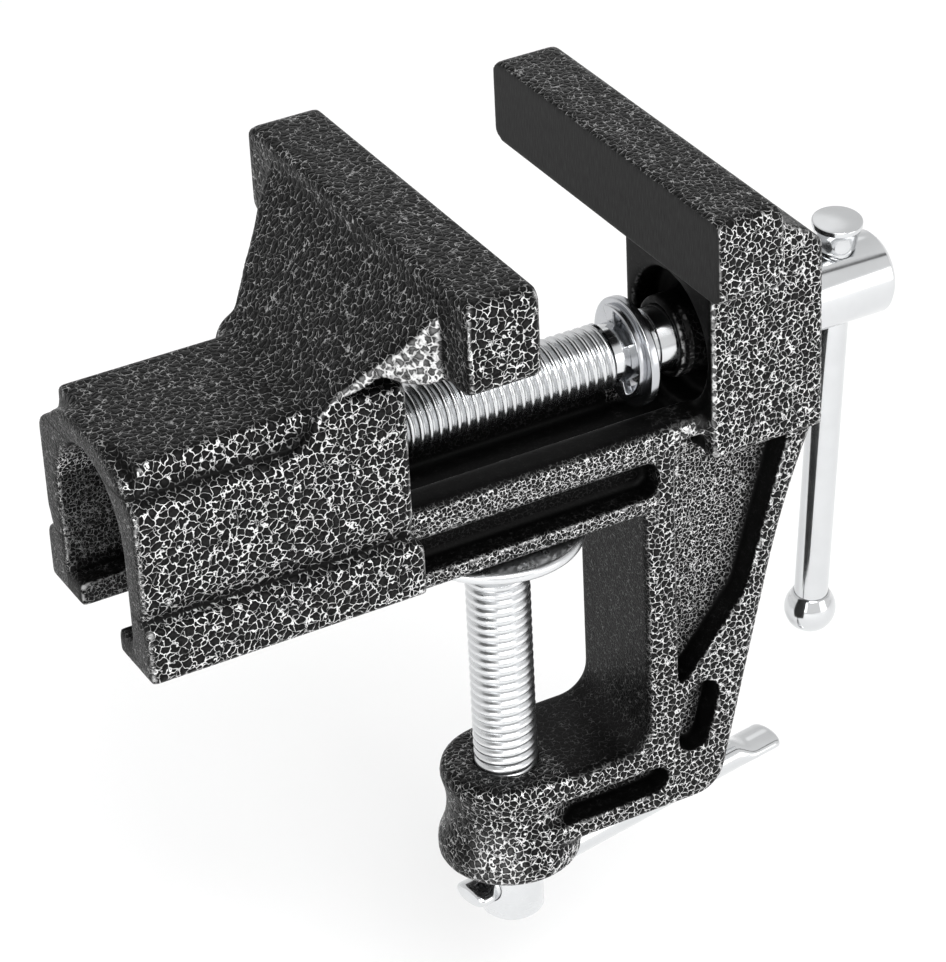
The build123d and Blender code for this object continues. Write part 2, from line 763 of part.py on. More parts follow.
with BuildPart() as clamp_screw:
    with BuildSketch(Plane.XZ):
        with BuildLine():
            r_clamp = clamp_screw_diameter / 2
            Polyline(
                (clamp_axis, clamp_foot),
                (clamp_axis + r_clamp - clamp_end_edge, clamp_foot),
                (clamp_axis + r_clamp, clamp_foot + clamp_end_edge),
                (clamp_axis + r_clamp, pad_bottom - face_gap),
                (clamp_axis + rivet_diameter / 2, pad_bottom - face_gap),
                (clamp_axis + rivet_diameter / 2, rivet_seat),
                (clamp_axis + rivet_head_diameter / 2, rivet_seat),
                (clamp_axis + rivet_head_diameter / 2 - rivet_edge, rivet_seat + rivet_head_thick),
                (clamp_axis, rivet_seat + rivet_head_thick),
                close=True,
            )
        make_face()
    revolve(axis=clamp_line)
    with BuildSketch(bar_plane):
        Circle(bar_rod / 2 + bar_gap)
    extrude(amount=clamp_screw_diameter, both=True, mode=Mode.SUBTRACT)

clamp_screw.part.label = "clamp_screw"
export_step(clamp_screw.part, "parts/clamp_screw.step")


# ================================================================ clamp pad
with BuildPart() as clamp_pad:
    with BuildSketch(Plane.XY.offset(pad_bottom)):
        with Locations((clamp_axis, 0)):
            Circle(pad_diameter / 2)
            Circle(rivet_diameter / 2 + bearing_gap, mode=Mode.SUBTRACT)
    extrude(amount=pad_thick)
    with BuildSketch(Plane.XY.offset(rivet_seat - face_gap)):
        with Locations((clamp_axis, 0)):
            Circle(rivet_head_diameter / 2 + rivet_gap)
    extrude(amount=pad_thick, mode=Mode.SUBTRACT)
    chamfer(clamp_pad.edges().filter_by(GeomType.CIRCLE).group_by(SortBy.RADIUS)[-1], pad_chamfer)

clamp_pad.part.label = "clamp_pad"
export_step(clamp_pad.part, "parts/clamp_pad.step")


# ================================================================ clamp bar
# A rod flattened at both ends, so that it can't slip out of the screw.
rod_near = -(bar_near_end - near_paddle)
rod_far = bar_far_end - far_paddle

with BuildPart() as clamp_bar:
    with BuildSketch(bar_plane.offset(rod_near)):
        Circle(bar_rod / 2)
    extrude(amount=rod_far - rod_near)
    with BuildSketch(bar_plane.offset(rod_near)):
        RectangleRounded(paddle_thick, paddle_width, paddle_round)
    extrude(amount=-near_paddle)
    with BuildSketch(bar_plane.offset(rod_far)):
        RectangleRounded(paddle_thick, paddle_width, paddle_round)
    extrude(amount=far_paddle)

clamp_bar.part.label = "clamp_bar"
export_step(clamp_bar.part, "parts/clamp_bar.step")
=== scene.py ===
# %% [markdown]
# # A clamp-on bench vise, dressed for the camera
# The vise is two iron castings in hammer-tone paint, two plated screws with their cross bars, and
# a few small steel pieces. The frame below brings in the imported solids, and every piece made here
# takes its size and place from them.

# %% Load the frame
import math

import bpy
from mathutils import Matrix, Vector


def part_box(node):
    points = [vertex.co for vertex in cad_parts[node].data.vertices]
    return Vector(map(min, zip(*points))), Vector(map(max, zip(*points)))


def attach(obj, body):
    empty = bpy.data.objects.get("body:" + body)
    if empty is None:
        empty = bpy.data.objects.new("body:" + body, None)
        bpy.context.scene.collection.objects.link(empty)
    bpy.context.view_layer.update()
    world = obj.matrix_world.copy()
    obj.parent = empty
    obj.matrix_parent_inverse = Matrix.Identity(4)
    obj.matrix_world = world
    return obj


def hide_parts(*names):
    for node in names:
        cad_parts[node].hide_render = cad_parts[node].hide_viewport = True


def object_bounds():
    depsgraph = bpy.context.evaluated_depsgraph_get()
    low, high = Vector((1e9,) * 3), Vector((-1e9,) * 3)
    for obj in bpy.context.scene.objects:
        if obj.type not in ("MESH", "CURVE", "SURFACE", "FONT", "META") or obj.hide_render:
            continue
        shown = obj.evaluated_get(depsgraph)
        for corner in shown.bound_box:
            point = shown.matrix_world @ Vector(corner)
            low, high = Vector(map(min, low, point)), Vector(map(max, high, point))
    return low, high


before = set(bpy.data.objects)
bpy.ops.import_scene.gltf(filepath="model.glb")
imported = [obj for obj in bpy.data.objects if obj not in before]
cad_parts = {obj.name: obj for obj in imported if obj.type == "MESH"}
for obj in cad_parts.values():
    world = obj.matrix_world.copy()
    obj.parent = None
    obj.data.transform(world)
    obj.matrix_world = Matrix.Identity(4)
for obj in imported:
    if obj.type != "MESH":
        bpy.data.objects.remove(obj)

MM = 0.001
cad_low, cad_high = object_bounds()
print("CAD box, mm:", [round((b - a) / MM, 1) for a, b in zip(cad_low, cad_high)])

# %% [markdown]
# ## Places that the pieces share
# The origin is on the bench top, at the upright face of the throat. The main screw runs along X
# and the clamp screw along Z. Both axes could be typed in as numbers, but read from the boxes of
# their solids they follow any change of size.

# %% Shared places
screw_low, screw_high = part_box("main_screw")
clamp_low, clamp_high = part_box("clamp_screw")
pad_low, pad_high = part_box("clamp_pad")
SCREW_Z = (screw_low.z + screw_high.z) / 2
CLAMP_X = (clamp_low.x + clamp_high.x) / 2
print("screw axis at z", round(SCREW_Z / MM, 2), "mm")
print("clamp axis at x", round(CLAMP_X / MM, 2), "mm")

# %% [markdown]
# ## The camera
# The photograph looks down on the near left side with a long lens, a little off level. A camera
# can be aimed by eye at a target, but such an aim has no roll. So its three axes are worked out
# here: they are the columns of its matrix, and point right, up and back.

# %% Camera
AZIMUTH, ELEVATION, ROLL = (math.radians(angle) for angle in (-27.46, 31.79, -2.90))
CAMERA_PLACE = Vector((-247.97, -433.04, 311.21)) * MM
FOCAL_LENGTH, SENSOR_WIDTH = 148.3, 36

back = Vector((
    math.sin(AZIMUTH) * math.cos(ELEVATION),
    -math.cos(AZIMUTH) * math.cos(ELEVATION),
    math.sin(ELEVATION),
))
level = Vector((math.cos(AZIMUTH), math.sin(AZIMUTH), 0))
upright = back.cross(level)
right = level * math.cos(ROLL) + upright * math.sin(ROLL)
up = upright * math.cos(ROLL) - level * math.sin(ROLL)

lens = bpy.data.cameras.new("view")
lens.lens = FOCAL_LENGTH
lens.sensor_width = SENSOR_WIDTH
lens.clip_start = 0.05
camera = bpy.data.objects.new("view", lens)
bpy.context.scene.collection.objects.link(camera)
turn = Matrix((right, up, back)).transposed().to_4x4()
camera.matrix_world = Matrix.Translation(CAMERA_PLACE) @ turn
bpy.context.scene.camera = camera
bpy.context.scene.view_settings.view_transform = "Standard"
print("the camera is", round(CAMERA_PLACE.length, 3), "m from the origin")

# %% [markdown]
# ## Shader maths as Python expressions
# A value in a material is a socket of a node. Nodes could be added and linked one by one, but then
# a formula of ten steps takes forty lines. This class wraps a socket instead, so that `1 - mask *
# 0.5` adds the Math nodes by itself. Every other node comes from `add`: its settings first, then
# its sockets.

# %% The wrapper
class Shade:
    """A value in a material, and the way to get more of them."""

    def __init__(self, tree, socket=None):
        self.tree = tree
        self.socket = socket

    def add(self, kind, settings=None, inputs=None, out=0):
        """A new node of this kind, as the value of its socket `out`."""
        node = self.tree.nodes.new(kind)
        for key, value in (settings or {}).items():
            setattr(node, key, value)
        for key, value in (inputs or {}).items():
            if isinstance(value, Shade):
                self.tree.links.new(value.socket, node.inputs[key])
            else:
                node.inputs[key].default_value = value
        return Shade(self.tree, node.outputs[out])

    def maths(self, operation, *values):
        """A Math node with this operation on these values."""
        return self.add("ShaderNodeMath", {"operation": operation}, dict(enumerate(values)))

    def __add__(self, other):
        return self.maths("ADD", self, other)

    def __radd__(self, other):
        return self.maths("ADD", other, self)

    def __sub__(self, other):
        return self.maths("SUBTRACT", self, other)

    def __rsub__(self, other):
        return self.maths("SUBTRACT", other, self)

    def __mul__(self, other):
        return self.maths("MULTIPLY", self, other)

    def __rmul__(self, other):
        return self.maths("MULTIPLY", other, self)

    def __abs__(self):
        return self.maths("ABSOLUTE", self)


# %% [markdown]
# ## Small helpers for patterns
# Patterns could be laid on by a UV map, but a casting has no good place for its seams. So all
# patterns here are solid ones, read at the object's own coordinates in millimetres, and they run
# round every edge. The facing is the surface's normal in the same axes.

# %% Materials and vectors
def scaled(vector, by):
    """A vector times a number."""
    return vector.add("ShaderNodeVectorMath", {"operation": "SCALE"}, {0: vector, "Scale": by})


def shifted(vector, by):
    """A vector plus another vector."""
    return vector.add("ShaderNodeVectorMath", {"operation": "ADD"}, {0: vector, 1: by})


def stretched(vector, x=1, y=1, z=1):
    """A vector whose axes are scaled one by one."""
    return vector.add("ShaderNodeVectorMath", {"operation": "MULTIPLY"}, {0: vector, 1: (x, y, z)})


def axes(vector):
    """x, y and z of a vector."""
    return [vector.add("ShaderNodeSeparateXYZ", None, {0: vector}, out) for out in range(3)]


def new_material(name):
    """A new Principled material: itself, its shader, its coordinates in mm and its facing."""
    material = bpy.data.materials.new(name)
    material.use_nodes = True
    tree = material.node_tree
    tree.nodes.clear()
    shader = tree.nodes.new("ShaderNodeBsdfPrincipled")
    output = tree.nodes.new("ShaderNodeOutputMaterial")
    tree.links.new(shader.outputs[0], output.inputs[0])
    start = Shade(tree)
    coords = scaled(start.add("ShaderNodeTexCoord", out="Object"), 1 / MM)
    return material, shader, coords, start.add("ShaderNodeTexCoord", out="Normal")


def drive(shader, **values):
    """Sets or links sockets of the Principled shader, by their names with _ for a space."""
    for key, value in values.items():
        socket = shader.inputs[key.replace("_", " ")]
        if isinstance(value, Shade):
            value.tree.links.new(value.socket, socket)
        else:
            socket.default_value = value


# %% Steps, mixes and noise
def soft_step(value, low, high):
    """0 below low, 1 above high and smooth between them. It also runs downwards."""
    settings = {"interpolation_type": "SMOOTHSTEP"}
    return value.add("ShaderNodeMapRange", settings, {0: value, 1: low, 2: high, 3: 0.0, 4: 1.0})


def blend(mask, first, second):
    """first where the mask is 0 and second where it is 1, for plain numbers."""
    return mask.add("ShaderNodeMix", {"data_type": "FLOAT"}, {0: mask, 2: first, 3: second})


def either(*masks):
    """The largest of some masks."""
    result = masks[0]
    for mask in masks[1:]:
        result = result.maths("MAXIMUM", result, mask)
    return result


def grey(value):
    """A number as a neutral colour."""
    return value.add("ShaderNodeCombineColor", None, {0: value, 1: value, 2: value})


def noise(coords, size, detail=2.0, out=0):
    """Soft noise with lumps of this size in mm. Its socket 1 is a colour, three noises at once."""
    inputs = {"Vector": coords, "Scale": 1 / size, "Detail": detail}
    return coords.add("ShaderNodeTexNoise", None, inputs, out)


def bump(height, strength, distance):
    """A normal from a height in 0..1, with distance in mm."""
    inputs = {"Height": height, "Strength": strength, "Distance": distance * MM}
    return height.add("ShaderNodeBump", None, inputs)


# %% [markdown]
# ## Hammer-tone paint: its net
# Hammer paint dries into small dark cells with a net of silver between them, because the metal
# flakes gather along the cell walls. The net could be thresholded noise, but that gives blots and
# not closed cells. A Voronoi texture's distance to the cell edge is such a net. Its coordinates
# are swirled first, so that no cell is a straight-sided polygon, and a second noise thins the
# lines until they break.

# %% The net of silver veins
SWIRL_SIZE, SWIRL_REACH, BREAK_SIZE = 0.75, 0.9, 0.8  # shares of a cell
BROKEN, WHOLE = 0.30, 0.64  # levels of the second noise at which a line is broken or whole
THIN, WIDER = 0.45, 0.65  # share of the width that a broken line has, and what a whole one adds
FAINT, BRIGHTER = 0.30, 0.70  # the same for its silver
SKIRT, CREST = 1.2, 0.2  # shares of its width from which a line rises, and where it is full


def vein_net(coords, cell, width, seed):
    """(veins, dome): 1 on the net's lines, and the height of the cells between them."""
    place = shifted(coords, (seed, seed, 0))
    swirl = shifted(noise(place, cell * SWIRL_SIZE, 1.0, out=1), (-0.5, -0.5, -0.5))
    swirled = shifted(coords, scaled(swirl, cell * SWIRL_REACH))
    walls = coords.add("ShaderNodeTexVoronoi", {"feature": "DISTANCE_TO_EDGE"},
                       {"Vector": swirled, "Scale": 1 / cell})
    breaks = soft_step(noise(place, cell * BREAK_SIZE), BROKEN, WHOLE)
    line = (THIN + WIDER * breaks) * width * (1 / cell)
    veins = soft_step(walls, line * SKIRT, line * CREST) * (FAINT + BRIGHTER * breaks)
    return veins, soft_step(walls, 0.02, 0.45)


# %% [markdown]
# ## Hammer-tone paint: its colour and relief
# The cells are almost black and bulge a little, with a painted sheen on their tops, and the net is
# metal. The paint looks different from place to place: side faces show thick lines, made brighter
# as painted light, and top faces thin ones in patches. Hollows have a small dense net on their
# floors, and their walls and other places where shade falls get plain black paint as painted
# shade. Rubbed faces show fine hairlines and no net, and in a few places a painted highlight makes
# the net wide and pale. One material could be made for each of these, but then every border would
# be a hard line along the mesh. So there is one material for a casting, and four masks say where
# it changes. Blender's Pointiness, which is over 0.5 on outer edges and under it in inner corners,
# darkens the inner corners as painted shade, and paints a highlight on bits of the outer edges.

# %% Hammer-tone material
SMALL_CELL, SMALL_LINE = 0.68, 0.7  # mm, and the share of the line that the small net keeps
LINE, SIDE_LINE, HIGHLIGHT_LINE = 0.051, 0.024, 0.14  # mm: any line, and what sides and painted highlights add
VEIN, SIDE_VEIN_LIGHT = 0.42, 0.36  # tone of the net, and the painted light that sides add
CELL, CELL_SHEEN, HIGHLIGHT_TONE = 0.001, 0.009, 0.16  # tone of a cell, its painted sheen on top, and a painted highlight
RUBBED, HAIRLINE = 0.008, 0.045  # tone of a rubbed face, and what its hairlines add
LOST_ON_TOP = 0.7  # share of the net that top faces lose between its patches
NET_LOST_TO_SHADE, CORNER_SHADE = 0.85, 0.8  # shares of the net and of the cells' tone lost to painted shade in corners
PLAIN_SHADE = 0.75  # share of the cells' tone that plain paint loses, as painted shade
# The first is a painted highlight that outer edges add to the net, the second how much the net is
# metal.
EDGE_HIGHLIGHT, VEIN_METAL = 0.45, 0.85
HIGHLIGHT_BIT_SIZE, PATCH_SIZE, WAVE_SIZE = 0.9, 1.5, 2.6  # mm: bits of edges with a painted highlight, patches, slow waves
PAINT_ROUGH, RUBBED_ROUGH, PLAIN_ROUGH, VEIN_ROUGH = 0.38, 0.18, 0.12, 0.36
WAVES, SCRATCHES = 0.25, 0.25  # heights, where a cell's dome is 1
RELIEF, RELIEF_HEIGHT = 0.8, 0.13  # strength, and mm


def pointed_places(coords):
    """Where shade and highlight are painted: 1 in inner corners, and 1 on bits of outer edges."""
    pointed = coords.add("ShaderNodeNewGeometry", out="Pointiness")
    highlight_bits = soft_step(noise(coords, HIGHLIGHT_BIT_SIZE), 0.42, 0.62)
    return soft_step(pointed, 0.495, 0.476), soft_step(pointed, 0.525, 0.550) * highlight_bits


def hammer_paint(name, seed, cell, *places):
    """The paint of one casting, with cells of this size in mm on its open faces.

    The places are four functions of the coordinates and the facing. They say where the net is
    small, where plain dark paint stands for shade, where it is rubbed and where a highlight is
    painted.
    """
    material, shader, coords, facing = new_material(name)
    side = soft_step(abs(axes(facing)[1]), 0.3, 0.8)
    small, plain, rubbed, highlight = (where(coords, facing) for where in places)
    bare = either(plain * 0.97, rubbed)
    # Painted shade in the inner corners, and a painted highlight on bits of the outer edges.
    shade_in_corners, edge = pointed_places(coords)

    # Lines are wider on side faces, and wider still where a highlight is painted.
    width = LINE + SIDE_LINE * side + HIGHLIGHT_LINE * highlight
    big_net, big_dome = vein_net(coords, cell, width, seed)
    small_net, small_dome = vein_net(coords, SMALL_CELL, width * SMALL_LINE, seed + 7)
    dome = blend(small, big_dome, small_dome)
    patches = soft_step(noise(coords, PATCH_SIZE), 0.40, 0.60)
    shown = 1 - (1 - side) * (LOST_ON_TOP - LOST_ON_TOP * patches)
    net = blend(small, big_net, small_net) * shown * (1 - bare) * (1 - NET_LOST_TO_SHADE * shade_in_corners)
    # The outer edges' painted highlight is drawn as extra net.
    veins = either(net, edge * side * EDGE_HIGHLIGHT)

    hairlines = noise(stretched(coords, 6, 6, 0.5), 1.0, 3.0)
    # Painted sheen on the cells' domed tops, stronger on side faces as painted light; the plain
    # places lose most of the cells' tone, as painted shade.
    cells = (CELL + CELL_SHEEN * dome * dome * (0.6 + 0.4 * side)) * (1 - bare * PLAIN_SHADE)
    scratched = rubbed * (RUBBED + HAIRLINE * hairlines * hairlines)
    # Places with a painted highlight turn pale between the lines, and inner corners are darkened as
    # painted shade.
    dark = cells * (1 - CORNER_SHADE * shade_in_corners) + scratched + HIGHLIGHT_TONE * highlight * dome
    # The net is brighter on side faces, as painted light.
    tone = blend(veins, dark, VEIN + SIDE_VEIN_LIGHT * side)
    paint_rough = PAINT_ROUGH + RUBBED_ROUGH * rubbed + PLAIN_ROUGH * plain
    waves = WAVES * noise(coords, WAVE_SIZE)
    height = dome * (1 - bare) + waves + SCRATCHES * rubbed * hairlines
    drive(shader, Base_Color=grey(tone), Metallic=veins * VEIN_METAL,
          Roughness=blend(veins, paint_rough, VEIN_ROUGH), Specular_IOR_Level=0.2, IOR=1.3,
          Normal=bump(height, RELIEF, RELIEF_HEIGHT))
    print(name, "has", len(material.node_tree.nodes), "nodes")
    return material


# %% [markdown]
# ## Where the body's paint changes
# Each place could be painted on the mesh as vertex colours, but those are lost whenever the
# casting is remeshed. So a place is a box in the object's own coordinates, in millimetres, often
# times the way that the surface faces.

# %% Paint of the body
def inside(coords, low, high, soft=0.3):
    """1 in a box with soft sides, in mm. None leaves a side open."""
    mask = 1.0
    for axis, a, b in zip(axes(coords), low, high):
        if a is not None:
            mask = soft_step(axis, a - soft, a + soft) * mask
        if b is not None:
            mask = soft_step(axis, b + soft, b - soft) * mask
    return mask


# Boxes, as their lowest and highest corners in mm.
THROAT = (-5, None, -44), (0.35, None, 0)
SIDE_POCKETS = (0, None, -54), (32, None, 14.0)
RAIL_FLANGES = (-71, None, -1), (2, None, 14.3)


def body_small_net(coords, facing):
    """The floors of the side pockets, the rail's flanges and the upright face of the throat."""
    sunk = soft_step(abs(axes(coords)[1]), 9.4, 8.4) * inside(coords, *SIDE_POCKETS)
    throat = inside(coords, *THROAT) * soft_step(axes(facing)[0], -0.3, -0.7)
    return either(sunk, inside(coords, *RAIL_FLANGES), throat)


def body_painted_shade(coords, facing):
    """Painted shade: pocket walls, the rail's top and grooves, the throat and the column's front.
    """
    nx, ny, nz = axes(facing)
    x, y, z = axes(coords)
    walls = soft_step(abs(y), 10.2, 9.8) * soft_step(abs(ny), 0.75, 0.55)
    before_rim = soft_step(x - 0.243 * z, 24.8, 23.8)
    upright_pocket = inside(coords, (3.6, None, -46), (32, None, 13.0)) * before_rim
    lower_pocket = inside(coords, (-15, None, -51.5), (3.8, None, -44.5))
    upward = soft_step(nz, 0.3, 0.6)
    rail_top = inside(coords, (-71, None, 8.2), (10.4, None, 14.6)) * upward
    lower_arm = inside(coords, (-14, None, -44), (0.35, None, -38), 1.2) * upward
    rail_grooves = inside(coords, (-71, -9.9, 2.8), (2.4, 9.9, 14.6))
    throat = inside(coords, *THROAT) * soft_step(nx, -0.3, -0.7)
    column_front = inside(coords, (8.6, None, 13.5), (16, None, 45)) * soft_step(nx, -0.7, -0.95)
    screw_recess = inside(coords, (8.4, -11.2, 12.0), (15.4, 11.2, 34.0))
    return either(walls * either(upright_pocket, lower_pocket), rail_top * 0.9, lower_arm * 0.9,
                  rail_grooves, throat * 0.72, column_front, screw_recess)


def body_rubbed(coords, facing):
    """The ground gripping face."""
    return inside(coords, (-1, None, 43), (0.6, None, 59)) * soft_step(axes(facing)[0], -0.6, -0.9)


def body_painted_highlight(coords, facing):
    """Painted highlights: the shoulders of the clamp boss, the rail's corner at the column, the
    column's edge.
    """
    shoulder = inside(coords, (-30, None, -58), (-23, None, -49), 2) * 0.35
    corner = inside(coords, (4.5, None, 11.4), (10.4, None, 14.3), 0.6) * 0.4
    front_edge = inside(coords, (10.3, None, 13), (11.1, None, 43), 0.15) * 0.7
    return (shoulder + corner + front_edge) * soft_step(abs(axes(facing)[1]), 0.3, 0.6)


body_paint = hammer_paint("hammer_paint_body", 0, 1.0,
                          body_small_net, body_painted_shade, body_rubbed, body_painted_highlight)

# %% [markdown]
# ## Where the slide's paint changes
# The slide's cells are a little larger. Two thin seams, left by the parts of the sand mould, run
# along each of its sides, and shade falls in them. They could be cut as grooves, but they are finer
# than the casting's squares, so their shade is painted as two thin boxes of plain dark paint.

# %% Paint of the slide
FREE_END = (-84, None, 0), (-81.9, None, 60)  # a box, as above


def slide_small_net(coords, facing):
    """The inside of the channel, and the free end."""
    return either(inside(coords, (-90, -10.9, 0), (-28, 10.9, 34)), inside(coords, *FREE_END))


def slide_painted_shade(coords, facing):
    """Painted shade: the lower part of the channel's inside, all that faces down, and the seams."""
    depth = abs(axes(coords)[1])
    channel = inside(coords, (-90, -10.95, 0), (-28, 10.95, 24), 0.2)
    downward = soft_step(axes(facing)[2], -0.6, -0.8)
    # Painted shade in the two seams along each side.
    low_seam = inside(coords, (-83, None, 13.75), (-40, None, 14.1), 0.12)
    high_seam = inside(coords, (-83, None, 32.45), (-52, None, 32.8), 0.12)
    return either(channel * 0.75, downward, low_seam * soft_step(depth, 15.8, 15.5),
                  high_seam * soft_step(depth, 14.2, 13.9))


def slide_rubbed(coords, facing):
    """The ground gripping face and the ground free end."""
    nx = axes(facing)[0]
    grip = inside(coords, (-29.2, None, 43), (-28, None, 59)) * soft_step(nx, 0.6, 0.9)
    return either(grip, inside(coords, *FREE_END) * soft_step(nx, -0.5, -0.9) * 0.35)


def slide_painted_highlight(coords, facing):
    """A painted highlight on the flanks of the flare that carries the jaw."""
    nx, ny, _ = axes(facing)
    flank = soft_step(nx, -0.35, -0.6) * soft_step(abs(ny), 0.4, 0.6)
    return inside(coords, (-54, None, 32.6), (-40, None, 60)) * flank


slide_paint = hammer_paint("hammer_paint_slide", 31, 1.2,
                           slide_small_net, slide_painted_shade, slide_rubbed, slide_painted_highlight)

# %% [markdown]
# ## Plated steel
# Bright zinc and nickel are almost mirrors, with fine turning marks round their axis and a cloudy
# bloom. A Wave texture would give marks that are all alike. Noise that is squeezed along the axis
# and stretched across it gives uneven ones, as a lathe leaves them.

# %% Plated steel materials
MARKS_ALONG, MARKS_ACROSS, MARK_HEIGHT = 9.0, 0.35, 0.02  # marks in a mm, and mm
CLOUD, CLOUD_SIZE, CLOUD_ROUGH = 0.12, 3.5, 0.12  # share of the colour lost, mm, roughness added


def plated(name, colour, roughness, axis, marks=0.35):
    """A plated steel with turning marks round this axis."""
    material, shader, coords, _ = new_material(name)
    squeeze = {each: (MARKS_ALONG if each == axis else MARKS_ACROSS) for each in "xyz"}
    lines = noise(stretched(coords, **squeeze), 1.0, 3.0)
    bloom = noise(coords, CLOUD_SIZE, 3.0)
    tint = coords.add("ShaderNodeMix", {"data_type": "RGBA"},
                      {0: 1 - CLOUD * bloom, 6: (0, 0, 0, 1), 7: (*colour, 1)}, 2)
    drive(shader, Base_Color=tint, Metallic=1.0, Normal=bump(lines, marks, MARK_HEIGHT),
          Roughness=roughness + CLOUD_ROUGH * (bloom * lines))
    print(name, "reflects", round(sum(colour) / 3, 2))
    return material


screw_zinc = plated("bright_zinc_screw", (0.64, 0.65, 0.66), 0.20, "x")
clamp_zinc = plated("bright_zinc_clamp", (0.71, 0.72, 0.73), 0.25, "z")
bar_nickel = plated("bright_nickel", (0.68, 0.69, 0.70), 0.10, "z", marks=0.10)
spring_steel = plated("dark_spring_steel", (0.50, 0.51, 0.53), 0.18, "x", marks=0.15)

# %% [markdown]
# ## Tools for the modelling
# An operator works on whatever is selected, and the frame leaves its nodes selected. So everything
# is deselected before each step, and one object is made the active one. Every piece here ends in
# the same way: its place goes into its mesh, its smooth shading stops at sharp edges, it gets its
# material and the body it moves with, and the solid that it stands for is hidden.

# %% Selecting and editing
def use_only(piece):
    """Selects this object and nothing else."""
    if bpy.context.object and bpy.context.object.mode != "OBJECT":
        bpy.ops.object.mode_set(mode="OBJECT")
    bpy.ops.object.select_all(action="DESELECT")
    piece.select_set(True)
    bpy.context.view_layer.objects.active = piece


def edit(piece):
    """Opens the object in edit mode, with all of it selected."""
    use_only(piece)
    bpy.ops.object.mode_set(mode="EDIT")
    bpy.ops.mesh.select_all(action="SELECT")


def close_edit():
    """Goes back to object mode."""
    bpy.ops.object.mode_set(mode="OBJECT")


def pick(piece, test):
    """Opens the object in edit mode, with only the corners selected that pass the test."""
    edit(piece)
    bpy.ops.mesh.select_all(action="DESELECT")
    close_edit()
    for vertex in piece.data.vertices:
        vertex.select = test(vertex.co)
    bpy.ops.object.mode_set(mode="EDIT")


def apply(piece, kind, **settings):
    """Adds a modifier with these settings and applies it."""
    use_only(piece)
    modifier = piece.modifiers.new(kind.lower(), kind)
    for key, value in settings.items():
        setattr(modifier, key, value)
    bpy.ops.object.modifier_apply(modifier=modifier.name)


# %% Starting and finishing a piece
WELD = 0.002 * MM  # corners nearer than this are one


def weld(piece):
    """Merges the corners that touch."""
    edit(piece)
    bpy.ops.mesh.remove_doubles(threshold=WELD)
    close_edit()


def copy_of(node, name):
    """A welded copy of a CAD node's mesh, as a piece of its own."""
    piece = bpy.data.objects.new(name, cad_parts[node].data.copy())
    bpy.context.scene.collection.objects.link(piece)
    weld(piece)
    bpy.ops.mesh.customdata_custom_splitnormals_clear()
    piece.data.materials.clear()
    return piece


def finish_piece(piece, material, body, replaced=None, angle=35):
    """Gives a piece its material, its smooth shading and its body."""
    use_only(piece)
    bpy.ops.object.transform_apply(location=True, rotation=True, scale=True)
    bpy.ops.object.shade_smooth_by_angle(angle=math.radians(angle))
    piece.data.materials.clear()
    piece.data.materials.append(material)
    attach(piece, body)
    if replaced:
        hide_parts(replaced)
    print(piece.name, "has", len(piece.data.polygons), "faces")


# %% [markdown]
# ## The two castings
# Sand casting and thick paint leave no sharp edge anywhere. A Bevel modifier would round each edge
# by itself, and it breaks where many small faces meet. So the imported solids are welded, turned
# into an even net of small squares by a voxel remesh, and smoothed, which rounds the outside edges
# and fills the inside corners at once. The flare under the moving jaw ends in a corner that comes
# down on to the screw. It is pulled down a little, with proportional editing so that the flank
# follows.

# %% Castings
VOXEL = 0.54 * MM
FLARE_CORNER = (-43.2 * MM, 22.8 * MM, 44.2 * MM)  # on both sides
FLARE_GRAB, FLARE_DROP, FLARE_SPREAD = 1.2 * MM, 1.1 * MM, 5 * MM


def softened_casting(node):
    """A copy of the node with every edge and corner rounded, as cast iron has them."""
    casting = copy_of(node, node + "_casting")
    apply(casting, "REMESH", mode="VOXEL", voxel_size=VOXEL)
    apply(casting, "SMOOTH", factor=0.5, iterations=6)
    return casting


body_casting = softened_casting("fixed_body")
finish_piece(body_casting, body_paint, "frame", "fixed_body", angle=80)

slide_casting = softened_casting("moving_jaw")
pick(slide_casting, lambda co: math.dist((co.x, abs(co.y), co.z), FLARE_CORNER) < FLARE_GRAB)
bpy.ops.transform.translate(value=(0, 0, -FLARE_DROP), use_proportional_edit=True,
                            proportional_edit_falloff="SMOOTH", proportional_size=FLARE_SPREAD)
close_edit()
finish_piece(slide_casting, slide_paint, "slide", "moving_jaw", angle=80)

# %% [markdown]
# ## Tools for round pieces
# What a lathe makes is easiest to draw as half of its outline and to wind round an axis. The
# outline could be a curve, but a mesh line keeps just the corners that it is given. It starts as a
# plane that is merged to a single corner, and that corner is extruded from point to point. All
# round pieces are made along Z, where an outline is a radius and a height, and are then laid on
# their own axis.

# %% Lines, cuts and axes
def draw_line(name, points):
    """A line of corners through these points, in mm from the Z axis and in mm along it."""
    bpy.ops.mesh.primitive_plane_add(size=MM)
    line = bpy.context.object
    line.name = name
    edit(line)
    bpy.ops.mesh.merge(type="CENTER")
    bpy.ops.transform.translate(value=(points[0][0] * MM, 0, points[0][1] * MM))
    for (r, z), (next_r, next_z) in zip(points, points[1:]):
        step = ((next_r - r) * MM, 0, (next_z - z) * MM)
        bpy.ops.mesh.extrude_region_move(TRANSFORM_OT_translate={"value": step})
    close_edit()
    return line


def face_outwards(piece):
    """Turns every face of a closed shape outwards."""
    edit(piece)
    bpy.ops.mesh.normals_make_consistent(inside=False)
    close_edit()


def cut(piece, point, normal):
    """Cuts away what lies beyond a plane on the side of its normal, and closes the cut."""
    edit(piece)
    bpy.ops.mesh.bisect(plane_co=point, plane_no=normal, use_fill=True, clear_outer=True)
    close_edit()


